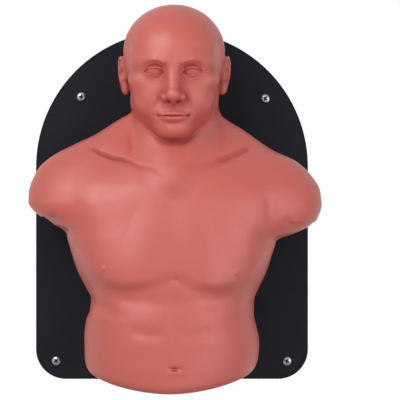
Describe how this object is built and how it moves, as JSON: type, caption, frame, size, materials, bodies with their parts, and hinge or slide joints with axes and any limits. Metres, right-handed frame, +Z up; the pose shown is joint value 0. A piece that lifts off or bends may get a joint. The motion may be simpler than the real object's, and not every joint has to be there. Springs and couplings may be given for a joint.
{
  "type": "wall-mounted boxing dummy",
  "caption": "Foam-filled vinyl head and torso of a man, with short rounded arm stumps, bolted to an arched leathercloth-covered board that screws to a wall.",
  "frame": {"origin": "middle of the board's flat back face, on the wall plane", "axes": "+Y goes into the wall, so the figure faces -Y; +Z is up; +X is to the viewer's right"},
  "size_m": [0.5199, 0.2926, 0.68],
  "materials": {
    "board_wood": "raw fibreboard",
    "leathercloth": "fine grained black leathercloth",
    "vinyl_skin": "semi-matte moulded terracotta vinyl",
    "foam": "open cream polyurethane foam",
    "plywood": "raw birch plywood",
    "bright_steel": "bright nickel plate",
    "zinc_plate": "dull zinc plate"
  },
  "bodies": {
    "root": {"back_board": "board_wood", "board_cover": "leathercloth", "torso_skin": "vinyl_skin", "foam_core": "foam", "mounting_plate": "plywood", "plate_bolt_1": "zinc_plate", "plate_bolt_2": "zinc_plate", "plate_bolt_3": "zinc_plate", "plate_bolt_4": "zinc_plate", "plate_bolt_5": "zinc_plate", "plate_bolt_6": "zinc_plate", "bolt_washer_1": "zinc_plate", "bolt_washer_2": "zinc_plate", "bolt_washer_3": "zinc_plate", "bolt_washer_4": "zinc_plate", "bolt_washer_5": "zinc_plate", "bolt_washer_6": "zinc_plate", "tee_nut_1": "zinc_plate", "tee_nut_2": "zinc_plate", "tee_nut_3": "zinc_plate", "tee_nut_4": "zinc_plate", "tee_nut_5": "zinc_plate", "tee_nut_6": "zinc_plate", "wall_screw_top_left": "bright_steel", "wall_screw_top_right": "bright_steel", "wall_screw_bottom_left": "bright_steel", "wall_screw_bottom_right": "bright_steel"}
  },
  "joints": []
}
